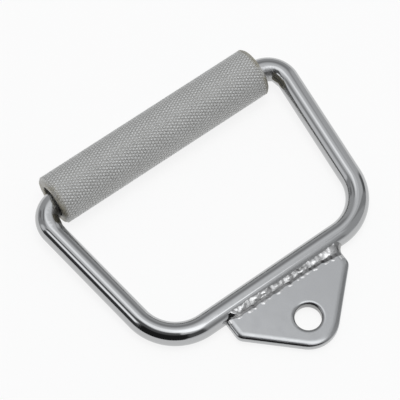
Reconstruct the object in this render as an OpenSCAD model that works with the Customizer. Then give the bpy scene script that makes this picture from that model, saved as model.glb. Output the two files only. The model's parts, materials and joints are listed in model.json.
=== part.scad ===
// Cable machine grab handle: a closed stirrup of round bar, a loose knurled
// sleeve to grip, and a welded lug with an eye for the snap hook.
// The handle lies at rest on a level floor, on its sleeve and its lug side.
// The origin is the middle of the eye, +X runs along the grip, +Y from the
// eye to the grip and +Z up. Sizes are in millimetres and degrees.

/* [Bar] */
// Diameter of the steel bar
bar_d = 12.5; // [10:0.5:15]
// Distance between the axes of the bar's two long sides
frame_h = 102; // [90:0.2:140]
// Angle by which each arm leans in toward the lug
arm_lean = 7; // [0:0.5:9]
// Centreline radius of the two bends beside the grip
grip_bend_r = 12; // [10:0.5:20]
// Centreline radius of the two bends on the lug side
lug_bend_r = 26; // [14:1:30]
// Angle that the flat fold inside each tight bend beside the grip spans
pinch_turn = 70; // [30:5:80]
// Angle between the grip's axis and that fold
pinch_lean = 50; // [40:5:60]

/* [Grip sleeve] */
// Length of the sleeve
sleeve_len = 132; // [120:1:160]
// Wall of the sleeve, from its bore to the tips of the knurl
sleeve_wall = 5.5; // [3:0.25:8]
// Radial play of the sleeve on the bar
sleeve_play = 2.25; // [1:0.25:3]
// Clearance left where the bar lies against the sleeve's bore
rest_gap = 0.1; // [0.05:0.05:0.2]
// Chamfer on the sleeve's ends
sleeve_chamfer = 1.5; // [0.5:0.25:2.5]
// Length of each end that runs over the start of a bend while the sleeve lies in the middle
bend_lap = 1.1; // [0:0.1:1.5]
// How far the loose sleeve has slid along the bar toward -X
sleeve_slide = 1.5; // [0:0.1:1.5]

/* [Knurl] */
// Knurl grooves around the sleeve, in each of their two directions
knurl_count = 40; // [24:1:42]
// Angle between the grooves and the sleeve's axis
knurl_angle = 30; // [30:1:45]
// Depth of the knurl grooves
knurl_depth = 0.4; // [0.1:0.05:0.6]

/* [Lug] */
// Thickness of the lug plate
lug_t = 6; // [4:0.5:8]
// Width of the lug plate along the bar
lug_w = 71.2; // [60:0.2:76]
// Distance from the bar's axis to the middle of the eye
eye_drop = 28.2; // [26:0.2:36]
// Diameter of the eye
eye_d = 14; // [10:0.5:16]
// Radius of the rounded rim of the eye
eye_rim = 0.9; // [0.3:0.1:1.2]
// Radius of the lug's nose, about the eye
nose_r = 16.2; // [14:0.2:18]
// Radius of the lug's two shoulders
shoulder_r = 5; // [3:0.5:7]
// Distance from the bar's axis to the lowest point of each shoulder
shoulder_drop = 19.5; // [17:0.5:22]
// Radius of the rounded edges of the lug
lug_edge = 1.4; // [0.5:0.1:1.8]
// Sideways set of the lug from the middle of the frame, as it was welded
lug_set = 1.6; // [-3:0.2:3]

/* [Welds] */
// Reach of each bead down the face of the plate, in the middle of its run
weld_leg = 3.2; // [2.4:0.1:4.5]
// How much further each bead reaches at its +X end, and less at its -X end
weld_drift = 1.2; // [0:0.1:1.2]
// Angle around the bar at which a bead ends, from the plane of the plate
weld_wrap = 52; // [45:1:60]
// Reach of each bead along the bar, past the ends of the plate
weld_return = 3.25; // [2:0.25:5]
// Crown of the bead above a flat fillet, between its ripples
weld_crown = 0.6; // [0.2:0.1:0.8]
// Length of one ripple of the bead
weld_ripple = 6.6; // [3:0.2:8]
// Height of the ripples
weld_ripple_h = 0.6; // [0.1:0.1:0.8]
// Bow of the ripples along the bead
weld_bow = 0.9; // [0:0.1:1.5]
// Hollow of the bead's face round the ends of the plate
weld_hollow = 0.5; // [0:0.1:0.8]

/* [Hidden] */
$fn = 96;

bar_r = bar_d / 2;
eye_r = eye_d / 2;

// Closed bar: half lengths of its long sides and the length of an arm
grip_turn = 90 + arm_lean;
lug_turn = 90 - arm_lean;
grip_tangent = grip_bend_r * tan(grip_turn / 2);
lug_tangent = lug_bend_r * tan(lug_turn / 2);
grip_half = sleeve_len / 2 - bend_lap;
lug_half = grip_half + grip_tangent - frame_h * tan(arm_lean) - lug_tangent;
arm_len = frame_h / cos(arm_lean) - grip_tangent - lug_tangent;
// A curve is made a hair thinner than the straights that it runs into, so
// that it enters them through their end faces and both join as one solid
join_step = 0.02;
join_turn = 1;
// The same for the round corners of the plate, which the straight strips run into
disc_step = 0.05;
// The fold inside a tight bend is this much thinner than the bar, so its sides stay in the bend
pinch_step = 0.1;

// Sleeve and how it lies: its own weight brings the bore up against the bar
bore_r = bar_r + sleeve_play;
sleeve_r = bore_r + sleeve_wall;
sleeve_rise = sleeve_play - rest_gap;
rest_tilt = asin((sleeve_r - sleeve_rise - bar_r) / frame_h);

// Knurl: pyramids on a lattice of half cells, every second point a tip
knurl_cols = 2 * knurl_count;
knurl_len = sleeve_len - 2 * sleeve_chamfer;
knurl_cell = 2 * PI * sleeve_r / knurl_count / tan(knurl_angle);
knurl_rows = round(2 * knurl_len / knurl_cell);

// Lug outline: direction of the slanted edges and where their ends lie
half_t = lug_t / 2;
lug_half_w = lug_w / 2;
shoulder_at = [lug_half_w - shoulder_r, eye_drop - shoulder_drop + shoulder_r];
slant_normal = atan2(shoulder_at.y, shoulder_at.x) - acos((nose_r - shoulder_r) / norm(shoulder_at));
slant_len = sqrt(norm(shoulder_at) ^ 2 - (nose_r - shoulder_r) ^ 2);
lug_top = eye_drop - bar_r / 2;
// How far each edge strip reaches back into the flat middle of the plate
strip_lap = 1;
eye_ring_r = (eye_r + nose_r) / 2;

// Weld beads: every ring of points stands on a spine inside the plate
spine_in = 2;
spine_x = lug_half_w - spine_in;
spine_z = half_t - spine_in;
bead_bite = 0.3;
face_drop = sqrt(bar_r ^ 2 - half_t ^ 2);
rings_per_ripple = 7;
run_rings = round(2 * spine_x / weld_ripple * rings_per_ripple);
turn_rings = 4;
arc_points = 7;
// How much the lobes differ in height, and how fast along the bead
ripple_spread = 0.2;
ripple_wander = 77;

function polar(a, r) = r * [cos(a), sin(a)];

module bar_run(len) cylinder(r = bar_r, h = len);

// The inside of a tight bend folds flat: a short run across the bend's inner curve
module bar_pinch(bend_r, mid) {
    inner_r = bend_r - bar_r;
    pinch_r = bar_r - pinch_step;
    half = inner_r * sin(pinch_turn / 2);
    rotate([0, 0, mid]) translate([inner_r * cos(pinch_turn / 2) + pinch_r, half, 0])
        rotate([90, 0, 0]) cylinder(r = pinch_r, h = 2 * half);
}

module bar_side(half, y) translate([-half, y, 0]) rotate([0, 90, 0]) bar_run(2 * half);

module bar_bend(bend_r, from, turn)
    rotate_extrude(angle = turn + 2 * join_turn, start = from - join_turn)
        translate([bend_r, 0]) circle(bar_r - join_step);

// One arm with the bends at its two ends, on the right side
module bar_arm() {
    translate([grip_half, frame_h - grip_bend_r, 0]) {
        bar_bend(grip_bend_r, -arm_lean, grip_turn);
        bar_pinch(grip_bend_r, 90 - pinch_lean);
        rotate([0, 0, -arm_lean]) translate([grip_bend_r, 0, 0]) rotate([90, 0, 0]) bar_run(arm_len);
    }
    translate([lug_half, lug_bend_r, 0]) bar_bend(lug_bend_r, -90, lug_turn);
}

module frame_bar() color("gainsboro") at_rest() translate([-lug_set, eye_drop, 0]) {
    bar_side(grip_half, frame_h);
    bar_side(lug_half, 0);
    for (side = [0, 1]) mirror([side, 0, 0]) bar_arm();
}

// The level floor tips the frame's plane about the long axis
module at_rest() rotate([rest_tilt, 0, 0]) children();

// Radius of the knurled surface at a lattice point
function knurl_radius(col, row) = (col + row) % 2 == 1 ? sleeve_r : sleeve_r - knurl_depth;

function sleeve_ring(x, radii) = [
    for (col = [0:knurl_cols - 1]) [x, each polar(360 * col / knurl_cols, radii[col])]
];

function flat_ring(r) = [for (col = [0:knurl_cols - 1]) r];

function knurl_ring(row) = [for (col = [0:knurl_cols - 1]) knurl_radius(col, row)];

// Point number of a column in a row, where rows 0 and last are the end faces
function at(row, col) = row * knurl_cols + (col + knurl_cols) % knurl_cols;

// Four sides of the pyramid whose tip is the given point, wound clockwise from outside
function pyramid(row, col, last) = [
    if (row > 1) each [
        [at(row, col), at(row - 1, col), at(row, col - 1)],
        [at(row, col), at(row, col + 1), at(row - 1, col)]
    ],
    if (row < last) each [
        [at(row, col), at(row, col - 1), at(row + 1, col)],
        [at(row, col), at(row + 1, col), at(row, col + 1)]
    ]
];

// Chamfer between an end face and the first or the last ring of the knurl
function chamfer_pair(row, col) = [
    [at(row, col), at(row, col + 1), at(row + 1, col)],
    [at(row, col + 1), at(row + 1, col + 1), at(row + 1, col)]
];

module knurled_rod() {
    last = knurl_rows + 1;
    end_ring = flat_ring(sleeve_r - sleeve_chamfer);
    points = [
        each sleeve_ring(-sleeve_len / 2, end_ring),
        for (row = [0:knurl_rows]) each sleeve_ring(knurl_len * (row / knurl_rows - 0.5), knurl_ring(row)),
        each sleeve_ring(sleeve_len / 2, end_ring)
    ];
    faces = [
        [for (col = [0:knurl_cols - 1]) at(0, col)],
        for (row = [0, last]) for (col = [0:knurl_cols - 1]) each chamfer_pair(row, col),
        for (row = [1:last]) for (col = [0:knurl_cols - 1])
            if ((row + col) % 2 == 0) each pyramid(row, col, last),
        [for (col = [knurl_cols - 1:-1:0]) at(last + 1, col)]
    ];
    polyhedron(points, faces);
}

// The sleeve's axis is level, straight above the bar's
module on_bar()
    translate([-lug_set - sleeve_slide, eye_drop + frame_h, 0]) rotate([-rest_tilt, 0, 0])
        translate([0, 0, sleeve_rise]) children();

module grip_sleeve() color("darkgray") at_rest() on_bar() difference() {
    knurled_rod();
    rotate([0, 90, 0]) cylinder(r = bore_r, h = sleeve_len + 2, center = true);
}

// Section of a plate of the lug's thickness, from its flat middle out to a rounded edge
module edge_section(reach) {
    translate([-strip_lap, 0]) square([reach - lug_edge + strip_lap, lug_t]);
    translate([0, lug_edge]) square([reach, lug_t - 2 * lug_edge]);
    for (z = [lug_edge, lug_t - lug_edge]) translate([reach - lug_edge, z]) circle(lug_edge);
}

// Round plate with a rounded rim
module edge_disc(r) translate([0, 0, -half_t]) rotate_extrude() intersection() {
    edge_section(r - disc_step);
    square([r, lug_t]);
}

// Straight strip with its rounded edge on +X, from the origin along +Y
module edge_strip(len)
    translate([0, len, -half_t]) rotate([90, 0, 0]) linear_extrude(len) edge_section(shoulder_r);

module lug_blank() {
    edge_disc(nose_r);
    for (side = [0, 1]) mirror([side, 0, 0]) {
        translate(shoulder_at) {
            edge_disc(shoulder_r);
            edge_strip(lug_top - shoulder_at.y);
        }
        rotate([0, 0, slant_normal]) translate([nose_r - shoulder_r, 0, 0]) edge_strip(slant_len);
    }
    slant_foot = polar(slant_normal, nose_r - shoulder_r);
    translate([0, 0, -half_t]) linear_extrude(lug_t) polygon([
        [0, 0], slant_foot, shoulder_at, [shoulder_at.x, lug_top],
        [-shoulder_at.x, lug_top], [-shoulder_at.x, shoulder_at.y], [-slant_foot.x, slant_foot.y]
    ]);
}

// Ring around the eye, whose bore has a rounded rim on both faces
module eye_ring() translate([0, 0, -half_t]) rotate_extrude() {
    translate([eye_r, eye_rim]) square([eye_ring_r - eye_r, lug_t - 2 * eye_rim]);
    translate([eye_r + eye_rim, 0]) square([eye_ring_r - eye_r - eye_rim, lug_t]);
    for (z = [eye_rim, lug_t - eye_rim]) translate([eye_r + eye_rim, z]) circle(eye_rim);
}

module lug_bar_cut()
    translate([0, eye_drop, 0]) rotate([0, 90, 0]) cylinder(r = bar_r, h = 2 * lug_w, center = true);

module lug_plate() color("lightgray") at_rest() {
    difference() {
        lug_blank();
        cylinder(r = eye_ring_r, h = 2 * lug_t, center = true);
        lug_bar_cut();
    }
    eye_ring();
}

// Where the bead's rings stand: [place of the spine, direction outward]
function bead_stations() = [
    [[-spine_x, 0], 180],
    for (i = [0:turn_rings]) [[-spine_x, spine_z], 180 - 90 * i / turn_rings],
    for (i = [1:run_rings - 1]) [[spine_x * (2 * i / run_rings - 1), spine_z], 90],
    for (i = [0:turn_rings]) [[spine_x, spine_z], 90 - 90 * i / turn_rings],
    [[spine_x, 0], 0]
];

// Height of the ripples at a place along the bead: a row of lobes of uneven height
function ripple(s, phase) =
    let (
        lobe = abs(sin(180 * (s / weld_ripple + phase))),
        wander = sin(ripple_wander * s / weld_ripple + 360 * phase)
    )
    weld_ripple_h * lobe * (1 + ripple_spread * (wander - 1));

// One ring of the bead: two points inside the steel, then the arc of its face
function bead_ring(station, phase) =
    let (
        spine = station[0],
        out = polar(station[1], 1),
        side = abs(out.x),
        toe_plate = [spine_in - bead_bite, -face_drop - weld_leg - weld_drift * spine.x / spine_x],
        toe_run = bar_r * [sin(weld_wrap), -cos(weld_wrap)] - [spine_z + bead_bite / 2, -bead_bite / 2],
        toe_return = [spine_in + weld_return, bead_bite - bar_r],
        toe_bar = toe_run * (1 - side) + toe_return * side,
        chord = toe_bar - toe_plate,
        normal = [-chord.y, chord.x] / -norm(chord),
        lift = (weld_crown + ripple(spine.x, phase)) * (1 - side) - weld_hollow * side,
        section = [
            [0, -bar_r / 3],
            for (i = [0:arc_points - 1]) let (t = 1 - i / (arc_points - 1))
                toe_plate + chord * t + normal * lift * 4 * t * (1 - t),
            [0, toe_plate.y - bead_bite]
        ]
    )
    [for (i = [0:arc_points + 1]) let (
            p = section[i],
            t = 1 - (i - 1) / (arc_points - 1),
            bow = i == 0 || i > arc_points ? 0 : weld_bow * 4 * t * (1 - t) * (1 - side)
        )
        [spine.x + out.x * p.x + bow, eye_drop + p.y, spine.y + out.y * p.x]];

module bead_blank(phase) {
    stations = bead_stations();
    n = arc_points + 2;
    last = n * (len(stations) - 1);
    points = [for (station = stations) each bead_ring(station, phase)];
    faces = [
        for (i = [1:n - 2]) each [[0, i, i + 1], [last, last + i + 1, last + i]],
        for (ring = [0:n:last - n]) for (i = [0:n - 1])
            let (a = ring + i, b = ring + (i + 1) % n) each [[a, b + n, b], [a, a + n, b + n]]
    ];
    polyhedron(points, faces);
}

module weld_bead(phase) difference() {
    bead_blank(phase);
    lug_bar_cut();
    lug_blank();
}

module weld_front() color("silver") at_rest() weld_bead(0);

module weld_back() color("silver") at_rest() mirror([0, 0, 1]) weld_bead(0.37);

frame_bar();
lug_plate();
weld_front();
weld_back();
grip_sleeve();
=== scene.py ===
"""Looks of a cable machine grab handle: a chromed stirrup of bent round bar, a knurled
sleeve that turns on it, and a lug plate welded to the side away from the grip.

Lengths are metres. The frame's plane is the plane of the bent bar and the lug: its x runs
along the grip, its y from the eye to the grip, and at rest it is tipped about x.
"""

import json
import math

import bpy
import numpy as np
from mathutils import Matrix, Vector


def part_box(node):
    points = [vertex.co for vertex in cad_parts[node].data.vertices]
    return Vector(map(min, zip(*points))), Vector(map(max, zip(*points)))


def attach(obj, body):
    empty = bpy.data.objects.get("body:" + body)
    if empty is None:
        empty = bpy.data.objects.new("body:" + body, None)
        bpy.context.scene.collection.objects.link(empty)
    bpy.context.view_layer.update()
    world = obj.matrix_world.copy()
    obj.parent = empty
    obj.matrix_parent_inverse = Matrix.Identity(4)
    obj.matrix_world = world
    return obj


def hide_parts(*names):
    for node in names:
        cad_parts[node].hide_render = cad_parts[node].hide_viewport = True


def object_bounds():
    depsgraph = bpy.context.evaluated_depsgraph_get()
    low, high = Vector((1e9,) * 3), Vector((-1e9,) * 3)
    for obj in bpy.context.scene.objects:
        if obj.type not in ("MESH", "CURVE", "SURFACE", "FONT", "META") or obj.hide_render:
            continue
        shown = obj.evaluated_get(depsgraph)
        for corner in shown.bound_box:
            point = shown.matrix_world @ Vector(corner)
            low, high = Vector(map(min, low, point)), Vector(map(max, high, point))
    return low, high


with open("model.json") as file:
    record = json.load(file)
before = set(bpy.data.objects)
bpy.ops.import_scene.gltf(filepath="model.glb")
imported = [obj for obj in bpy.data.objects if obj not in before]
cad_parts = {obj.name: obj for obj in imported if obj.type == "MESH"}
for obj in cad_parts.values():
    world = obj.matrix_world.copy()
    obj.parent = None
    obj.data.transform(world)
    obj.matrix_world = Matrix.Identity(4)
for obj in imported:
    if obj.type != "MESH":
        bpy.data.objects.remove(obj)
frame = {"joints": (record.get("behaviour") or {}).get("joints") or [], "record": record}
cad_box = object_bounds()

MM = 0.001
# Points of a small quarter round
ROUND_POINTS = 9

# Bent bar
BAR_R = 6.25 * MM
FRAME_H = 102 * MM
ARM_LEAN = math.radians(7)
GRIP_BEND_R = 12 * MM
LUG_BEND_R = 26 * MM
BEND_LAP = 1.1 * MM
BEND_DULL = 1.8
CREASE_AT = math.radians(55)
CREASE_FLAT = math.radians(50)
LEFT_PRESS = 1.8 * MM
RIGHT_PRESS = 0.25 * MM
PRESS_FADE = (0.7 * CREASE_FLAT, 1.3 * CREASE_FLAT)
POLISH_FADE = (0.9 * CREASE_AT, 1.3 * CREASE_AT)
BAR_STEP = 0.8 * MM
BAR_SIDES = 96

# Grip sleeve, whose place and size come from its solid and its joint
SLEEVE_LOW, SLEEVE_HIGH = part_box("grip_sleeve")
SLEEVE_LEN = SLEEVE_HIGH.x - SLEEVE_LOW.x
SLEEVE_R = (SLEEVE_HIGH.y - SLEEVE_LOW.y) / 2
SLEEVE_AXIS = Vector(frame["joints"][0]["pos_m"])
SLEEVE_BORE_R = 8.5 * MM
SLEEVE_CHAMFER = 1.2 * MM
BORE_CHAMFER = 0.4 * MM
EDGE_SOFT = 0.12 * MM
KNURL_COUNT = 48
KNURL_ANGLE = math.radians(30)
KNURL_DEPTH = 0.36 * MM
KNURL_FLAT = 0.3
KNURL_STEPS = 3
STAIN_LEN = 4 * MM

# Lug plate, with its eye at the origin
EYE = frame["record"]["mounts"][0]
TIP = math.asin(-EYE["axis"][1])
EYE_R = EYE["dims"]["r_mm"] * MM
EYE_DROP = 28.2 * MM
EYE_RIM = 1.2 * MM
EYE_RIM_IN = 2.0 * MM
LUG_T = 6 * MM
LUG_W = 71.2 * MM
NOSE_R = 16.2 * MM
SHOULDER_R = 5 * MM
SHOULDER_DROP = 19.5 * MM
LUG_EDGE_IN = 3.6 * MM
LUG_EDGE_DEEP = 1.5 * MM
LUG_SET = 1.6 * MM
LUG_STEP = 0.8 * MM
LUG_FACE_RINGS = 5

# Weld beads, whose lumps, knobs and lips on the plate are bells of uneven size
WELD_SPINE_IN = 2 * MM
WELD_SPINE_X = LUG_W / 2 - WELD_SPINE_IN
WELD_SPINE_Z = LUG_T / 2 - WELD_SPINE_IN
WELD_LEG = 2.9 * MM
WELD_DRIFT = 0.7 * MM
WELD_FLARE = 1.6 * MM
WELD_SCALLOP = 0.25 * MM
WELD_WRAP = math.radians(58)
WELD_WRAP_DROP = math.radians(12)
WELD_WRAP_WANDER = math.radians(2.5)
WELD_WAVES = 9
WELD_RETURN = 3.25 * MM
WELD_BITE = 0.06 * MM
WELD_HOLLOW = 0.7 * MM
WELD_CROWN = 0.65 * MM
WELD_LUMP_H = 0.5 * MM
WELD_KNOBS = 30
WELD_KNOB_H = 0.16 * MM
# A knob's share of the weld's painted light, and the painted shade level between the lumps
WELD_KNOB_SHINE = 0.4
WELD_DIM = 0.15
WELD_LIPS = 24
WELD_LIP_STEP = 5 * MM
WELD_LIP_H = 0.22 * MM
WELD_SKIRT = 2.4 * MM
# The painted light level of the skirt under the toe
SKIRT_SHINE = 0.5
WELD_STEP = 0.25 * MM
WELD_ROWS = 26
SKIRT_ROWS = 10
# Stretches along the bead, from -1 at its start to 1 at its end
START_NARROW = (-1, -0.85)
START_LOW = (-1, -0.92)
WRAP_DROPS = (-0.5, 0.1)
END_FLARE = (0.5, 1)
LIPS_END = 0.92
# Stretches across the bead's face, from 0 on the plate to 1 on the bar
CROWN_RISES = (0.02, 0.32)
CROWN_FALLS = (0.25, 1.15)
LUMPS_RISE = (0.2, 0.45)
LUMPS_FALL = (0.9, 1)
# Ranges of a knob's place across, half length in mm, half width across and height
KNOB_ACROSS = (0.35, 0.95)
KNOB_LONG = (0.6, 1.6)
KNOB_WIDE = (0.1, 0.2)
KNOB_HEIGHT = (-0.8, 1.0)
# Ranges of a step between lips as a share of the mean one, of a lip's depth below the toe,
# half length and half width in mm, and of its height
LIP_STEPS = (0.6, 1.4)
LIP_BELOW = (0.1, 0.7)
LIP_LONG = (0.8, 2.2)
LIP_WIDE = (0.6, 1.0)
LIP_HEIGHT = (0.5, 1.0)
# How far round the bar from the lug's middle the weld scorched it, then the angles, and the
# distances along the bar from the lug's middle, between which the scorch fades
SCORCH_WRAP = math.radians(64)
SCORCH_FADE = (SCORCH_WRAP - 0.12, SCORCH_WRAP + 0.08)
SCORCH_END_FADE = (LUG_W / 2 - 2 * MM, LUG_W / 2 + 3 * MM)
# Each lump's place along the bead in mm, its place across from 0 on the plate to 1 on the
# bar, its half length in mm, its half width across, how far it leans along the bead in mm,
# and its height
WELD_LUMPS = [
    (-30.2, 0.62, 1.3, 0.45, -4.2, 0.9),
    (-24.3, 0.74, 1.5, 0.22, 3.0, 0.9),
    (-15.6, 0.7, 2.0, 0.26, -1.5, 1.0),
    (-10.4, 0.74, 1.6, 0.2, 1.0, 0.9),
    (-12.0, 0.42, 2.2, 0.12, 0.0, 0.5),
    (-1.9, 0.66, 2.0, 0.2, -1.0, 0.7),
    (4.6, 0.68, 1.9, 0.22, 0.5, 0.9),
    (12.6, 0.55, 3.0, 0.2, -2.0, 0.8),
    (21.4, 0.62, 2.8, 0.28, -3.0, 0.9),
    (29.4, 0.6, 2.4, 0.3, 2.0, 0.9),
]

# Camera: the photo's own view, with the floor and the backdrop
LOOK_AT = Vector((-4.21 * MM, 88.23 * MM, 0))
LOOK_DIST = 989.75 * MM
LOOK_AZIMUTH = math.radians(57.46)
LOOK_DOWN = math.radians(63.01)
LOOK_ROLL = math.radians(-3.868)
LENS = 168.48
SENSOR = 36
FLOOR_Z = cad_box[0].z
TENT_R = 3.0
TENT_ROWS = 48
TENT_COLS = 128
TENT_TINT = (0.985, 0.995, 1.01)
FLOOR_R = 1.02 * TENT_R
FLOOR_SIDES = 96
FLOOR_CLOTH = 0.86
FLOOR_GLOW = 0.85
LAMP_SIZE = 1.0
LAMP_HEIGHT = 1.8
LAMP_POWER = 12
WHITE = 0.98


def smoothstep(low, high, x):
    """0 below low, 1 above high, and 3t^2 - 2t^3 between them."""
    t = np.clip((x - low) / (high - low), 0, 1)
    return t * t * (3 - 2 * t)


def soft_noise(random, count, x):
    """A smooth wander along x, from about -1 to 1.

    It is the sum of four sines of random phase, of which the second has count waves to the
    length and the others fewer or more.
    """
    span = x.max() - x.min()
    waves = count * np.array([0.6, 1.0, 1.7, 2.9])
    phases = random.uniform(0, 2 * math.pi, len(waves))
    turns = 2 * math.pi * (x[:, None] - x.min()) / span * waves + phases
    return (np.sin(turns) * (0.5, 0.45, 0.35, 0.25)).sum(1)


def polar(angle, radius=1.0):
    """Points at angles around the origin of a plane."""
    return radius * np.stack([np.cos(angle), np.sin(angle)], -1)


def tipped(points):
    """Points of the frame's plane, turned about x to how the handle lies on the floor."""
    x, y, z = np.moveaxis(np.asarray(points, float), -1, 0)
    c, s = math.cos(TIP), math.sin(TIP)
    return np.stack([x, c * y - s * z, s * y + c * z], -1)


def grid_faces(rows, cols, wrap_rows, wrap_cols):
    """Quads of a grid of points, numbered row by row, whose rows or columns may close."""
    r = np.arange(rows if wrap_rows else rows - 1)[:, None]
    c = np.arange(cols if wrap_cols else cols - 1)[None, :]
    r2, c2 = (r + 1) % rows, (c + 1) % cols
    quads = [r * cols + c, r2 * cols + c, r2 * cols + c2, r * cols + c2]
    return np.stack(quads, -1).reshape(-1, 4)


def add_piece(name, points, faces, body, nodes, material):
    """Makes a smooth mesh that rides on a body, stands for CAD nodes and wears a material."""
    mesh = bpy.data.meshes.new(name)
    mesh.from_pydata(points.reshape(-1, 3).tolist(), [], [list(map(int, f)) for f in faces])
    mesh.shade_smooth()
    mesh.materials.append(material)
    piece = bpy.data.objects.new(name, mesh)
    bpy.context.scene.collection.objects.link(piece)
    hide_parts(*nodes)
    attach(piece, body)
    return piece


def add_weight(piece, name, values):
    """Stores one number for each point of a piece, which its material reads by name."""
    layer = piece.data.attributes.new(name, "FLOAT", "POINT")
    layer.data.foreach_set("value", np.asarray(values, np.float32).ravel())


class Value:
    """A value in a shader. An expression on values adds its Math nodes."""

    def __init__(self, shader, socket):
        self.shader = shader
        self.socket = socket

    def __add__(self, other):
        return self.shader.math("ADD", self, other)

    def __sub__(self, other):
        return self.shader.math("SUBTRACT", self, other)

    def __rsub__(self, other):
        return self.shader.math("SUBTRACT", other, self)

    def __mul__(self, other):
        return self.shader.math("MULTIPLY", self, other)

    def __truediv__(self, other):
        return self.shader.math("DIVIDE", self, other)

    def __rtruediv__(self, other):
        return self.shader.math("DIVIDE", other, self)

    __radd__ = __add__
    __rmul__ = __mul__


class Shader:
    """The node tree of a material or of the world."""

    def __init__(self, owner):
        owner.use_nodes = True
        self.owner = owner
        self.tree = owner.node_tree
        self.tree.nodes.clear()

    def node(self, kind, settings=None, inputs=None, output=0):
        """Adds a node: its settings come first, then the values or links of its sockets."""
        node = self.tree.nodes.new(kind)
        for name, value in (settings or {}).items():
            setattr(node, name, value)
        for name, value in (inputs or {}).items():
            if isinstance(value, Value):
                self.tree.links.new(value.socket, node.inputs[name])
            else:
                node.inputs[name].default_value = value
        return Value(self, node.outputs[output] if len(node.outputs) else None)

    def math(self, operation, *terms):
        return self.node("ShaderNodeMath", {"operation": operation}, dict(enumerate(terms)))

    def place(self):
        return self.node("ShaderNodeTexCoord", output="Object")

    def parts(self, vector):
        """The x, y and z of a vector."""
        split = self.node("ShaderNodeSeparateXYZ", inputs={"Vector": vector})
        return [Value(self, out) for out in split.socket.node.outputs]

    def noise(self, vector, size, detail=2.0, roughness=0.5):
        """Soft noise from 0 to 1 whose blotches are about size across."""
        inputs = {"Vector": vector, "Scale": 1 / size, "Detail": detail, "Roughness": roughness}
        return self.node("ShaderNodeTexNoise", inputs=inputs)

    def ramp(self, value, low, high, start=0.0, end=1.0):
        """start below low, end above high, and a smooth step between them."""
        inputs = {"Value": value, "From Min": low, "From Max": high, "To Min": start, "To Max": end}
        return self.node("ShaderNodeMapRange", {"interpolation_type": "SMOOTHSTEP"}, inputs)

    def mix_colour(self, factor, first, second):
        inputs = {0: factor, 6: first, 7: second}
        return self.node("ShaderNodeMix", {"data_type": "RGBA"}, inputs, output=2)

    def bump(self, height, depth):
        """A normal bent by a height from 0 to 1 that stands for depth."""
        return self.node("ShaderNodeBump", inputs={"Height": height, "Distance": depth, "Strength": 1.0})

    def principled(self, **sockets):
        """Ends a material in a Principled surface with the given sockets."""
        inputs = {name.replace("_", " "): value for name, value in sockets.items()}
        self.output(self.node("ShaderNodeBsdfPrincipled", inputs=inputs))
        return self.owner

    def output(self, surface):
        is_world = isinstance(self.owner, bpy.types.World)
        kind = "ShaderNodeOutputWorld" if is_world else "ShaderNodeOutputMaterial"
        self.node(kind, inputs={"Surface": surface})


def grey(level, blue=0.0):
    """A grey, cooler by the given share."""
    return (level * (1 - blue), level, level * (1 + blue), 1.0)


def bar_chrome():
    """Polished plating: faint long waves from bending and polishing, and a light haze.

    It is dull and rough where the weld scorched it and inside the tight bends.
    """
    shader = Shader(bpy.data.materials.new("bar_chrome"))
    place = shader.place()
    waves = shader.noise(place, 14 * MM)
    haze = shader.noise(place, 4 * MM, detail=4.0)
    spatter = shader.noise(place, 1.1 * MM, detail=3.0)
    dull = shader.node("ShaderNodeAttribute", {"attribute_name": "dull"}, output="Fac")
    rougher = dull * shader.ramp(spatter, 0.3, 0.65, 0.12, 0.2)
    return shader.principled(
        Base_Color=grey(0.47, 0.01),
        Metallic=1.0,
        Roughness=shader.ramp(haze, 0.3, 0.75, 0.06, 0.11) + rougher,
        Normal=shader.bump(waves + spatter * dull * 1.5, 0.05 * MM),
    )


def lug_chrome():
    """Plating over rolled plate: satin, with a fine pebble, faint dents and painted shade in the eye's
    bore.
    """
    shader = Shader(bpy.data.materials.new("lug_chrome"))
    place = shader.place()
    pebble = shader.noise(place, 0.8 * MM, detail=3.0)
    dents = shader.noise(place, 9 * MM)
    haze = shader.noise(place, 5 * MM, detail=3.0)
    eye_shade = shader.node("ShaderNodeAttribute", {"attribute_name": "eye_shade"}, output="Fac")
    # Painted shade: the bore of the eye is darker than the rest of the plating.
    return shader.principled(
        Base_Color=shader.mix_colour(eye_shade, grey(0.43, 0.015), grey(0.25)),
        Metallic=1.0,
        Roughness=shader.ramp(haze, 0.3, 0.75, 0.16, 0.24),
        Normal=shader.bump(dents + pebble * 0.03, 0.06 * MM),
    )


def weld_chrome():
    """Plating over a weld bead, with painted highlights on the lumps and painted shade, nearly black, in
    the hollows between them.
    """
    shader = Shader(bpy.data.materials.new("weld_chrome"))
    place = shader.place()
    lump = shader.node("ShaderNodeAttribute", {"attribute_name": "lump"}, output="Fac")
    spatter = shader.noise(place, 0.9 * MM, detail=3.0)
    # Painted light and shade: the lumps' tops brighter than the plating, the hollows between them nearly
    # black.
    return shader.principled(
        Base_Color=shader.mix_colour(shader.ramp(lump, -0.3, 0.7), grey(0.06), grey(0.62)),
        Metallic=1.0,
        Roughness=shader.ramp(spatter, 0.3, 0.7, 0.1, 0.22),
        Normal=shader.bump(spatter, 0.08 * MM),
    )


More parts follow.
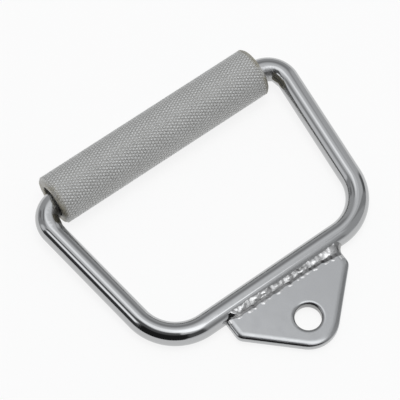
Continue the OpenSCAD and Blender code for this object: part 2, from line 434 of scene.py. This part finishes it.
def knurled_steel():
    """Dull plating over the knurl, with painted shade down in the grooves and on the end faces, and
    stained at the ends.
    """
    shader = Shader(bpy.data.materials.new("knurled_steel"))
    place = shader.place()
    height = shader.node("ShaderNodeAttribute", {"attribute_name": "height"}, output="Fac")
    cloud = shader.noise(place, 9 * MM, detail=3.0)
    grain = shader.noise(place, 0.35 * MM, detail=3.0)
    # Painted shade: darker down the knurl's grooves and on the end faces, with a random cloud of tone
    # over it.
    shaded_tone = shader.ramp(height, 0.0, 0.9) * shader.ramp(cloud, 0.3, 0.7, 0.85, 1.0)
    steel = shader.mix_colour(shaded_tone, (0.385, 0.382, 0.365, 1), (0.635, 0.642, 0.64, 1))
    x, _, _ = shader.parts(place)
    end_way = shader.math("ABSOLUTE", x - SLEEVE_AXIS.x)
    stained = shader.ramp(end_way, SLEEVE_LEN / 2 - STAIN_LEN, SLEEVE_LEN / 2)
    stained = stained * shader.ramp(cloud, 0.35, 0.6)
    return shader.principled(
        Base_Color=shader.mix_colour(stained * 0.85, steel, (0.28, 0.255, 0.18, 1)),
        Metallic=0.58,
        Roughness=shader.ramp(grain, 0.3, 0.7, 0.39, 0.48),
        Normal=shader.bump(grain, 0.02 * MM),
    )


def bar_centreline():
    """The closed centreline of the bar in the frame's plane, with its outward normals.

    It goes round with the steel on its left from the lug side: a bend is an arc of
    directions about its centre, and a straight joins the end of one arc to the next.
    """
    grip_half = SLEEVE_LEN / 2 - BEND_LAP
    grip_tangent = GRIP_BEND_R * math.tan((math.pi / 2 + ARM_LEAN) / 2)
    lug_tangent = LUG_BEND_R * math.tan((math.pi / 2 - ARM_LEAN) / 2)
    lug_half = grip_half + grip_tangent - FRAME_H * math.tan(ARM_LEAN) - lug_tangent
    quarter = math.pi / 2
    bends = [
        ((lug_half, LUG_BEND_R), LUG_BEND_R, -quarter, -ARM_LEAN),
        ((grip_half, FRAME_H - GRIP_BEND_R), GRIP_BEND_R, -ARM_LEAN, quarter),
        ((-grip_half, FRAME_H - GRIP_BEND_R), GRIP_BEND_R, quarter, 2 * quarter + ARM_LEAN),
        ((-lug_half, LUG_BEND_R), LUG_BEND_R, 2 * quarter + ARM_LEAN, 3 * quarter),
    ]
    points, normals = [], []
    for i, (centre, radius, start, stop) in enumerate(bends):
        angles = np.linspace(start, stop, round((stop - start) * radius / BAR_STEP) + 1)
        arc = np.array(centre) + polar(angles, radius)
        after, next_radius, next_start, _ = bends[(i + 1) % len(bends)]
        straight_end = np.array(after) + polar(next_start, next_radius)
        straight = straight_end - arc[-1]
        share = np.linspace(0, 1, round(np.linalg.norm(straight) / BAR_STEP))[1:-1, None]
        points += [arc, arc[-1] + straight * share]
        normals += [polar(angles), np.broadcast_to(polar(stop), (len(share), 2))]
    return np.concatenate(points) + (-LUG_SET, EYE_DROP), np.concatenate(normals)


def crease_bends(flat, up):
    """Gathers the inside of the two tight bends into two flats that meet in a crease.

    On either side of the crease the steel bows in from the bend's arc to a chord of it,
    which lies at inner radius * cos(half the flat) / cos(angle from the flat's middle).
    About the crease the bar's round is pressed upright too: its depth h behind the
    innermost line is filled by h * press / (h + press). The second result is how dull the
    plating is there, where no polishing wheel comes.
    """
    inner_r = GRIP_BEND_R - BAR_R
    hollow = BAR_R - np.sqrt(np.maximum(BAR_R**2 - up[..., 0] ** 2, 0))
    dull = 0
    for side, press in ((-1, LEFT_PRESS), (1, RIGHT_PRESS)):
        middle = (side * (SLEEVE_LEN / 2 - BEND_LAP) - LUG_SET, EYE_DROP + FRAME_H - GRIP_BEND_R)
        off = (flat - middle) * (side, 1)
        reach = np.linalg.norm(off, axis=-1)
        turned = np.arctan2(off[..., 0], off[..., 1])
        from_crease = np.abs(turned - CREASE_AT)
        from_middle = np.minimum(np.abs(from_crease - CREASE_FLAT / 2), CREASE_FLAT / 2)
        bow = inner_r * (1 - math.cos(CREASE_FLAT / 2) / np.cos(from_middle))
        inward = np.clip((GRIP_BEND_R - reach) / BAR_R, 0, 1)
        near_crease = 1 - smoothstep(*PRESS_FADE, from_crease)
        bow = bow * inward + hollow * press / (hollow + press) * near_crease
        bow = np.where(reach < GRIP_BEND_R, bow, 0)
        flat = flat - off * (side, 1) * (bow / reach)[..., None]
        on_sleeve_side = 1 - smoothstep(*POLISH_FADE, turned)
        dull = dull + smoothstep(0, 0.5, inward) * on_sleeve_side * (reach < GRIP_BEND_R)
    return flat, dull


def make_bar(material):
    """A round tube: each ring is centre + r (cos v outward + sin v up).

    It is dull inside the tight bends, and beside the weld up to an angle from the lug.
    """
    centres, outward = bar_centreline()
    v = np.linspace(0, 2 * math.pi, BAR_SIDES, endpoint=False)
    flat = centres[:, None, :] + BAR_R * np.cos(v)[None, :, None] * outward[:, None, :]
    up = np.broadcast_to(BAR_R * np.sin(v)[None, :, None], (*flat.shape[:2], 1))
    flat, dull = crease_bends(flat, up)
    points = tipped(np.concatenate([flat, up], -1))
    faces = grid_faces(len(centres), BAR_SIDES, True, True)
    piece = add_piece("bent_bar", points, faces, "frame", ["frame_bar"], material)
    below = np.arccos(np.clip((EYE_DROP - flat[..., 1]) / BAR_R, -1, 1))
    scorch = 1 - smoothstep(*SCORCH_FADE, below)
    scorch = scorch * (1 - smoothstep(*SCORCH_END_FADE, np.abs(flat[..., 0])))
    add_weight(piece, "dull", np.maximum(scorch, BEND_DULL * dull))


def make_sleeve(material):
    """A turned profile carried round the axis, with the knurl cut into its outside.

    On a lattice of half cells a V groove runs along every line where row plus column, or
    row minus column, is even. The height at a point is the distance to the nearer groove,
    and the tips are flattened.
    """
    knurl_len = SLEEVE_LEN - 2 * SLEEVE_CHAMFER
    half_cell = math.pi * SLEEVE_R / KNURL_COUNT / math.tan(KNURL_ANGLE)
    rows = round(knurl_len / half_cell) * KNURL_STEPS
    cols = 2 * KNURL_COUNT * KNURL_STEPS
    row = np.arange(rows + 1)[:, None] / KNURL_STEPS
    col = np.arange(cols)[None, :] / KNURL_STEPS
    ways = [np.abs((line + 1) % 2 - 1) for line in (row + col, row - col)]
    height = np.minimum(np.minimum(*ways) / (1 - KNURL_FLAT), 1)

    end, rim = SLEEVE_LEN / 2, SLEEVE_R - SLEEVE_CHAMFER
    bore_rim = SLEEVE_BORE_R + BORE_CHAMFER
    half_profile = np.array([
        (end - BORE_CHAMFER - 2 * EDGE_SOFT, SLEEVE_BORE_R),
        (end - BORE_CHAMFER, SLEEVE_BORE_R),
        (end - EDGE_SOFT, bore_rim - EDGE_SOFT),
        (end, bore_rim),
        (end, bore_rim + 2 * EDGE_SOFT),
        (end, rim - 3 * EDGE_SOFT),
        (end, rim - EDGE_SOFT),
        (end - EDGE_SOFT, rim + EDGE_SOFT),
        (end - SLEEVE_CHAMFER + EDGE_SOFT, SLEEVE_R - KNURL_DEPTH),
    ])
    x = np.concatenate([
        -half_profile[:, 0],
        np.linspace(-knurl_len / 2, knurl_len / 2, rows + 1),
        half_profile[::-1, 0],
    ])
    radius = np.concatenate([
        np.repeat(half_profile[:, 1:], cols, 1),
        SLEEVE_R - KNURL_DEPTH * (1 - height),
        np.repeat(half_profile[::-1, 1:], cols, 1),
    ])
    turn = np.linspace(0, 2 * math.pi, cols, endpoint=False)
    x = np.repeat(x[:, None], cols, 1)
    points = np.stack([x, radius * np.cos(turn), radius * np.sin(turn)], -1) + np.array(SLEEVE_AXIS)

    quads = grid_faces(len(x), cols, True, True)[:, ::-1].reshape(len(x), cols, 4)
    ring = np.arange(len(x))[:, None] - len(half_profile)
    cell = ring // KNURL_STEPS + np.arange(cols)[None, :] // KNURL_STEPS
    near, far = quads[cell % 2 == 0], quads[cell % 2 == 1]
    faces = np.concatenate([near[:, [0, 1, 3]], near[:, [1, 2, 3]], far[:, [0, 1, 2]], far[:, [0, 2, 3]]])
    piece = add_piece("knurled_sleeve", points, faces, "grip", ["grip_sleeve"], material)
    # Painted shade by the height weight: the end faces as dark as the grooves, the chamfers about half as
    # dark, the bore not at all.
    chamfer = smoothstep(rim - 4 * EDGE_SOFT, rim + 4 * EDGE_SOFT, half_profile[:, 1:])
    bored = half_profile[:, 1:] < bore_rim - EDGE_SOFT / 2
    plain = np.repeat(0.5 * chamfer + bored, cols, 1)
    add_weight(piece, "height", np.concatenate([plain, height, plain[::-1]]))


def lug_outline():
    """Outline of the lug plate, counter-clockwise from its top right corner.

    It gives each point with the direction in which an edge is rounded inward: the outward
    normal, or along x on the top edge, which stays square against the bar.
    """
    shoulder = np.array([LUG_W / 2 - SHOULDER_R, EYE_DROP - SHOULDER_DROP + SHOULDER_R])
    reach = np.linalg.norm(shoulder)
    slant = math.atan2(shoulder[1], shoulder[0]) - math.acos((NOSE_R - SHOULDER_R) / reach)
    top = EYE_DROP - BAR_R / 2
    mirrored = shoulder * (-1, 1)
    arcs = [
        (mirrored, SHOULDER_R, math.pi, math.pi - slant),
        (np.zeros(2), NOSE_R, math.pi - slant, 2 * math.pi + slant),
        (shoulder, SHOULDER_R, 2 * math.pi + slant, 2 * math.pi),
    ]
    corners = [np.array([LUG_W / 2, top]), np.array([-LUG_W / 2, top])]

    def straight(start, stop):
        count = max(2, round(np.linalg.norm(stop - start) / LUG_STEP))
        return start + (stop - start) * np.linspace(0, 1, count, endpoint=False)[:, None]

    top_edge = straight(*corners)
    points, inward = [top_edge], [top_edge * (2 / LUG_W, 0)]
    at, facing = corners[1], math.pi
    for centre, radius, start, stop in arcs:
        run = straight(at, centre + polar(start, radius))
        count = max(4, round((stop - start) * radius / LUG_STEP))
        angles = np.linspace(start, stop, count, endpoint=False)
        points += [run, centre + polar(angles, radius)]
        inward += [np.broadcast_to(polar(start), run.shape), polar(angles)]
        at, facing = centre + polar(stop, radius), stop
    run = straight(at, corners[0])
    points.append(run)
    inward.append(np.broadcast_to(polar(facing), run.shape))
    return np.concatenate(points), np.concatenate(inward), top


def make_lug(material):
    """A plate as rings about the eye, from its outer edge over a face and down the bore.

    A ring lies at (1 - m) (outline - inset * inward) + m (eye radius + offset), where m is
    0 on the edge and 1 at the eye. Near the bar, y is drawn in to end on the bar's round.
    """
    outline, inward, top = lug_outline()
    eye_way = outline / np.linalg.norm(outline, axis=1, keepdims=True)
    half_t = LUG_T / 2
    quarter = np.linspace(0, math.pi / 2, ROUND_POINTS)
    edge = [
        (0, LUG_EDGE_IN * (1 - math.cos(a)), 0, half_t - LUG_EDGE_DEEP * (1 - math.sin(a)))
        for a in quarter
    ]
    face_in = LUG_EDGE_IN + 2 * EDGE_SOFT
    face_share = np.linspace(0, 1, LUG_FACE_RINGS)
    face = [(m, face_in, EYE_RIM_IN + 2 * EDGE_SOFT, half_t) for m in face_share]
    rim = [
        (1, 0, EYE_RIM_IN * (1 - math.sin(a)), half_t - EYE_RIM * (1 - math.cos(a)))
        for a in quarter
    ]
    front = np.array(edge + face + rim)
    rings = np.concatenate([front, front[::-1] * (1, 1, 1, -1)])
    m, inset, offset, z = (rings[:, i, None, None] for i in range(4))
    flat = (1 - m) * (outline - inset * inward) + m * (EYE_R + offset) * eye_way

    draw_from = EYE_DROP - SHOULDER_DROP + SHOULDER_R
    cope = EYE_DROP - np.sqrt(BAR_R**2 - z[..., 0] ** 2)
    y = flat[..., 1]
    drawn = draw_from + (y - draw_from) * (cope - draw_from) / (top - draw_from)
    flat[..., 1] = np.where(y > draw_from, drawn, y)
    points = tipped(np.concatenate([flat, np.broadcast_to(z, (*y.shape, 1))], -1))
    faces = grid_faces(len(rings), len(outline), True, True)[:, ::-1]
    piece = add_piece("lug", points, faces, "frame", ["lug_plate"], material)
    # Painted shade on the bore of the eye, fading out over the inner part of its rounded rim
    eye_shade = (rings[:, 0] == 1) * (1 - smoothstep(0, EYE_RIM_IN / 2, rings[:, 2]))
    add_weight(piece, "eye_shade", np.repeat(eye_shade, len(outline)))


def bead_path():
    """Where the bead's rings stand: the spine's x and z, and the direction outward.

    The spine runs along the lug. At either end the rings turn about it, and the last one
    is carried on to the lug's middle, where the other face's bead begins.
    """
    turn = np.linspace(0, 1, ROUND_POINTS)
    run = np.linspace(-WELD_SPINE_X, WELD_SPINE_X, round(2 * WELD_SPINE_X / WELD_STEP))[1:-1]
    end = np.full(ROUND_POINTS + 1, WELD_SPINE_X)
    x = np.concatenate([-end, run, end])
    z = np.full(len(x), WELD_SPINE_Z)
    z[[0, -1]] = 0
    quarter = math.pi / 2
    ahead = np.full(len(run), quarter)
    facing = [[math.pi], math.pi - quarter * turn, ahead, quarter * (1 - turn), [0]]
    return x, z, np.concatenate(facing)


def bells(off_x, off_y, long, wide):
    """Bells of height 1, one for each last index: e to the -(x / long)^2 - (y / wide)^2."""
    return np.exp(-((off_x / long) ** 2) - (off_y / wide) ** 2)


def weld_toes(x, z, out, random):
    """The toes on the plate and on the bar, each as way out from the spine and y.

    The toe on the plate lies a leg below the bar. The toe on the bar lies on its round: a
    wrap angle round it from the lug's middle, and past the plate's ends a return's length
    along the bar.
    """
    side = np.abs(out[:, 0])
    share = x / WELD_SPINE_X
    plate_drop = math.sqrt(BAR_R**2 - (LUG_T / 2) ** 2)
    leg = WELD_LEG + WELD_DRIFT * share + WELD_FLARE * smoothstep(*END_FLARE, share)
    leg = leg - WELD_FLARE * (1 - smoothstep(*START_NARROW, share))
    leg = leg + WELD_SCALLOP * soft_noise(random, WELD_WAVES, x)
    toe_plate = np.stack([np.full(len(x), WELD_SPINE_IN - WELD_BITE), -plate_drop - leg], 1)

    wrap = WELD_WRAP - WELD_WRAP_DROP * smoothstep(*WRAP_DROPS, share)
    wrap = wrap + WELD_WRAP_WANDER * soft_noise(random, WELD_WAVES, x)
    returned = WELD_SPINE_IN + WELD_RETURN
    reach = (BAR_R * np.sin(wrap) - WELD_SPINE_Z) * (1 - side) + returned * side
    toe_z = z + out[:, 1] * reach
    toe_bar = np.stack([reach, WELD_BITE - np.sqrt(np.maximum(BAR_R**2 - toe_z**2, 0))], 1)
    return toe_plate, toe_bar


def weld_relief(x, side, lumps, random):
    """How far the bead's face stands off the line between its toes, and its painted light and shade.

    From t = 0 on the plate to t = 1 on the bar there is a crown with a steep foot, a row of
    slanted lumps and small knobs. Round the ends of the plate the face is hollow instead,
    by a parabola between the toes.
    """
    t = np.linspace(0, 1, WELD_ROWS)[None, :]
    at, across, long, wide, lean, height = np.transpose(lumps)
    off_t = t[..., None] - across
    off_x = x[:, None, None] - at * MM - lean * MM * off_t
    lump = (bells(off_x, off_t, long * MM, wide) * height).max(-1)

    knob_at = random.uniform(-WELD_SPINE_X, WELD_SPINE_X, WELD_KNOBS)
    knob_across = random.uniform(*KNOB_ACROSS, WELD_KNOBS)
    knob_long = random.uniform(*KNOB_LONG, WELD_KNOBS) * MM
    knob_wide = random.uniform(*KNOB_WIDE, WELD_KNOBS)
    knobs = bells(x[:, None, None] - knob_at, t[..., None] - knob_across, knob_long, knob_wide)
    knob = (knobs * random.uniform(*KNOB_HEIGHT, WELD_KNOBS)).sum(-1)

    crown = WELD_CROWN * np.interp(t, CROWN_RISES, (0, 1)) * (1 - smoothstep(*CROWN_FALLS, t))
    rise = smoothstep(*LUMPS_RISE, t) * (1 - smoothstep(*LUMPS_FALL, t))
    started = smoothstep(*START_LOW, x / WELD_SPINE_X)[:, None]
    lift = (crown + (WELD_LUMP_H * lump + WELD_KNOB_H * knob) * rise) * started
    hollow = WELD_HOLLOW * 4 * t * (1 - t)
    lift = lift * (1 - side[:, None]) - hollow * side[:, None]
    # Painted light and shade: bright on the lumps and knobs, dim between them and where the bead starts.
    lump_painted_light = np.clip(WELD_DIM + (lump + WELD_KNOB_SHINE * knob) * started, 0, 1)
    return lift, lump_painted_light


def weld_skirt(x, side, toe_plate, random):
    """The strip that runs down from the toe on the plate, just under the plate's face.

    Lips swell out of it: bells at uneven places along the toe, the highest of which counts.
    """
    below = np.linspace(WELD_SKIRT, 0, SKIRT_ROWS, endpoint=False)[None, :]
    lip_at = np.cumsum(random.uniform(*LIP_STEPS, WELD_LIPS) * WELD_LIP_STEP) - WELD_SPINE_X
    lip_at = lip_at[lip_at < LIPS_END * WELD_SPINE_X]
    lip_below = random.uniform(*LIP_BELOW, len(lip_at)) * MM
    lip_long = random.uniform(*LIP_LONG, len(lip_at)) * MM
    lip_wide = random.uniform(*LIP_WIDE, len(lip_at)) * MM
    lips = bells(x[:, None, None] - lip_at, below[..., None] - lip_below, lip_long, lip_wide)
    along_plate = side[:, None] < 0.01
    lip = (lips * random.uniform(*LIP_HEIGHT, len(lip_at))).max(-1) * along_plate
    return np.stack([toe_plate[:, :1] + WELD_LIP_H * lip, toe_plate[:, 1:] - below], -1)


def make_weld(name, node, flip, lumps, seed, material):
    """A fillet bead in the corner of plate and bar, as rings along its path.

    A ring goes up the skirt, over the face from toe to toe, and back inside the metal. A
    point of the face is toe + t * chord + lift * the chord's normal.
    """
    random = np.random.default_rng(seed)
    x, z, facing = bead_path()
    out = polar(facing)
    side = np.abs(out[:, 0])
    toe_plate, toe_bar = weld_toes(x, z, out, random)
    lift, lump_painted_light = weld_relief(x, side, lumps, random)
    chord = toe_bar - toe_plate
    normal = np.stack([chord[:, 1], -chord[:, 0]], -1)
    normal = normal / np.linalg.norm(chord, axis=1, keepdims=True)
    t = np.linspace(0, 1, WELD_ROWS)[None, :, None]
    face = toe_plate[:, None] + chord[:, None] * t + normal[:, None] * lift[..., None]
    inner = np.zeros((len(x), 2, 2))
    inner[:, 0, 1] = -BAR_R / 3
    inner[:, 1, 1] = toe_plate[:, 1] - WELD_SKIRT
    section = np.concatenate([weld_skirt(x, side, toe_plate, random), face, inner], 1)

    points = np.stack([
        x[:, None] + out[:, :1] * section[..., 0],
        EYE_DROP + section[..., 1],
        z[:, None] + out[:, 1:] * section[..., 0],
    ], -1) * (1, 1, -1 if flip else 1)
    count = section.shape[1]
    faces = grid_faces(len(x), count, False, True).tolist()
    caps = [list(range(count)), list(range(len(x) * count))[:-count - 1:-1]]
    faces = [face[::-1] if flip else face for face in faces + caps]
    piece = add_piece(name, tipped(points), faces, "frame", [node], material)
    # Painted light on the weld: the skirt at a mid level, the face by its lumps, the hidden inside none.
    skirt_painted_light = np.full((len(x), SKIRT_ROWS), SKIRT_SHINE)
    add_weight(piece, "lump", np.concatenate([skirt_painted_light, lump_painted_light, np.zeros((len(x), 2))], 1))


def place_camera():
    """The photo's view: a direction by azimuth and by angle below level, and a roll."""
    level = math.cos(LOOK_DOWN)
    look = Vector((level * math.cos(LOOK_AZIMUTH), level * math.sin(LOOK_AZIMUTH), -math.sin(LOOK_DOWN)))
    flat = look.cross(Vector((0, 0, 1))).normalized()
    above = flat.cross(look)
    right = math.cos(LOOK_ROLL) * flat + math.sin(LOOK_ROLL) * above
    up = right.cross(look)
    lens = bpy.data.cameras.new("camera")
    lens.lens = LENS
    lens.sensor_width = SENSOR
    lens.clip_start = 0.05
    lens.clip_end = 4 * TENT_R
    camera = bpy.data.objects.new("camera", lens)
    turned = Matrix((right, up, -look)).transposed().to_4x4()
    camera.matrix_world = Matrix.Translation(LOOK_AT - LOOK_DIST * look) @ turned
    bpy.context.scene.collection.objects.link(camera)
    bpy.context.scene.camera = camera


def seen_directly(shader):
    """1 for the camera and for what metal or glass shows, 0 for the light that falls."""
    path = shader.node("ShaderNodeLightPath").socket.node.outputs
    names = ("Is Camera Ray", "Is Glossy Ray", "Is Transmission Ray")
    camera, glossy, through = (Value(shader, path[name]) for name in names)
    return shader.math("MINIMUM", camera + glossy + through, 1.0)


def stage_mesh(name, points, faces, material):
    """Makes a mesh that belongs to the stage, not to the handle."""
    mesh = bpy.data.meshes.new(name)
    mesh.from_pydata(points.reshape(-1, 3).tolist(), [], faces)
    mesh.shade_smooth()
    mesh.materials.append(material)
    piece = bpy.data.objects.new(name, mesh)
    bpy.context.scene.collection.objects.link(piece)
    return piece


def make_floor():
    """A round white floor, out to the tent's wall, that keeps a soft shadow."""
    shader = Shader(bpy.data.materials.new("floor_white"))
    cloth = shader.node("ShaderNodeBsdfDiffuse", inputs={"Color": grey(FLOOR_CLOTH)})
    glow = shader.node("ShaderNodeEmission", inputs={"Color": grey(1), "Strength": 1.0})
    share = seen_directly(shader) * FLOOR_GLOW
    shader.output(shader.node("ShaderNodeMixShader", inputs={0: share, 1: cloth, 2: glow}))
    ring = polar(np.linspace(0, 2 * math.pi, FLOOR_SIDES, endpoint=False), FLOOR_R)
    points = np.concatenate([ring, np.full((len(ring), 1), FLOOR_Z)], -1)
    stage_mesh("floor", points, [list(range(len(ring)))], shader.owner)


# Parts of the tent, later ones over earlier ones: middle azimuth, half width, lowest and
# highest angle above level, all in degrees, and the brightness there
TENT_PARTS = {
    "far_wall": (-22, 26, 3, 68, 0.52),
    "dark_side": (-163, 47, 3, 75, 0.14),
    "open_front": (-142, 38, 3, 54, 0.02),
    "front_edge": (-95, 13, 12, 49, 0.11),
    "front_panel": (-72, 8, 52, 60, 0.85),
    "left_corner": (-75, 7, 16, 36, 0.34),
    "far_corner": (-15, 8, 3, 62, 0.38),
    "side_panel": (8, 14, 32, 72, 0.72),
    "side_foot": (15, 6, 3, 34, 0.66),
    "doorway": (0, 8, 3, 27, 0.15),
    "back_panel": (52, 27, 27, 47, 0.36),
    "beam": (112, 14, 48, 57, 0.22),
    "right_panel": (121, 7, 14, 34, 0.25),
    "corner": (135, 7, 3, 57, 0.40),
    "window": (150, 7, 12, 40, 0.92),
    "dark_corner": (168, 11, 1, 27, 0.05),
    "lamp_strip": (166, 8, 33, 49, 1.6),
}
# Oval panels in the roof, seen from below as discs of the unit circle: the middle's x and
# y, the half widths along x and y, how soft the edge is, and the brightness
ROOF_PANELS = {
    "broad_panel": (0.0, 0.08, 0.19, 0.37, 0.6, 1.55),
    "front_box": (0.07, -0.2, 0.13, 0.3, 0.7, 2.05),
    "front_strip": (0.09, -0.29, 0.18, 0.08, 0.5, 2.1),
}
# Where the floor's cloth sweeps up at the wall: middle azimuth, half width, the angles
# above level between which it ends, and its brightness
SWEEPS = [
    (-115, 80, 0.5, 4, WHITE),
    (-82, 30, 6, 13, 0.8),
]
# How soft the edges of the tent's parts are, in degrees: an upper edge is twice as soft
TENT_EDGE = 3
# The walls' and the roof's own brightness, the angles above level between which one turns
# into the other, and where the tent starts and ends in half turns above level
WALL_GLOW = 0.52
ROOF_GLOW = 0.93
EAVES = (46, 66)
TENT_SPAN = (-0.02, 0.4999)


def make_tent():
    """A tent around the handle whose walls and roof light it and show in the metal."""
    shader = Shader(bpy.data.materials.new("tent"))
    way = shader.node("ShaderNodeVectorMath", {"operation": "NORMALIZE"}, {0: shader.place()})
    x, y, z = shader.parts(way)
    rise = shader.math("ARCSINE", z) * math.degrees(1)
    level_way = shader.node("ShaderNodeCombineXYZ", inputs={"X": x, "Y": y})
    level_way = shader.node("ShaderNodeVectorMath", {"operation": "NORMALIZE"}, {0: level_way})
    level_x, level_y, _ = shader.parts(level_way)

    def sector(azimuth, half):
        """1 within half of an azimuth, 0 beyond it."""
        a = math.radians(azimuth)
        inner = math.cos(math.radians(half - TENT_EDGE))
        outer = math.cos(math.radians(half + TENT_EDGE))
        return shader.ramp(level_x * math.cos(a) + level_y * math.sin(a), outer, inner)

    light = shader.ramp(rise, *EAVES, WALL_GLOW, ROOF_GLOW)
    for azimuth, half, low, high, brightness in TENT_PARTS.values():
        patch = sector(azimuth, half) * shader.ramp(rise, low - TENT_EDGE, low + TENT_EDGE)
        patch = patch * shader.ramp(rise, high - 2 * TENT_EDGE, high + 2 * TENT_EDGE, 1.0, 0.0)
        light = light + (brightness - light) * patch
    for middle_x, middle_y, half_x, half_y, soft, brightness in ROOF_PANELS.values():
        off_x, off_y = (x - middle_x) / half_x, (y - middle_y) / half_y
        patch = shader.ramp(off_x * off_x + off_y * off_y, 1 - soft, 1 + soft, 1.0, 0.0)
        light = light + (brightness - light) * patch
    for azimuth, half, low, high, brightness in SWEEPS:
        patch = sector(azimuth, half) * shader.ramp(rise, low, high, 1.0, 0.0)
        light = light + (brightness - light) * patch
    inputs = {"Color": (*TENT_TINT, 1), "Strength": light}
    shader.output(shader.node("ShaderNodeEmission", inputs=inputs))

    heights = np.linspace(*TENT_SPAN, TENT_ROWS) * math.pi
    azimuths = np.linspace(0, 2 * math.pi, TENT_COLS, endpoint=False)
    height, azimuth = np.meshgrid(heights, azimuths, indexing="ij")
    level = polar(azimuth) * np.cos(height)[..., None]
    points = np.concatenate([level, np.sin(height)[..., None]], -1)
    faces = grid_faces(TENT_ROWS, TENT_COLS, False, True).tolist()
    tent = stage_mesh("tent", TENT_R * points, faces, shader.owner)
    tent.visible_camera = False


def hang_lamp():
    """A broad lamp under the roof that brings the light on the floor to a plain level."""
    lamp = bpy.data.lights.new("roof_lamp", "AREA")
    lamp.shape = "DISK"
    lamp.size = LAMP_SIZE
    lamp.energy = LAMP_POWER
    lantern = bpy.data.objects.new("roof_lamp", lamp)
    lantern.location = (0, 0, LAMP_HEIGHT)
    lantern.visible_glossy = False
    lantern.visible_camera = False
    bpy.context.scene.collection.objects.link(lantern)


def light_world():
    """White behind everything; the tent gives the light."""
    world = bpy.data.worlds.new("world")
    bpy.context.scene.world = world
    shader = Shader(world)
    inputs = {"Color": grey(WHITE), "Strength": seen_directly(shader)}
    shader.output(shader.node("ShaderNodeBackground", inputs=inputs))


place_camera()
make_bar(bar_chrome())
make_sleeve(knurled_steel())
make_lug(lug_chrome())
weld = weld_chrome()
make_weld("front_weld", "weld_front", False, WELD_LUMPS, seed=3, material=weld)
mirrored = np.array(WELD_LUMPS) * (-1, 1, 1, 1, -1, 1)
make_weld("back_weld", "weld_back", True, mirrored, seed=8, material=weld)
make_floor()
make_tent()
hang_lamp()
light_world()
bpy.context.scene.view_settings.view_transform = "Standard"
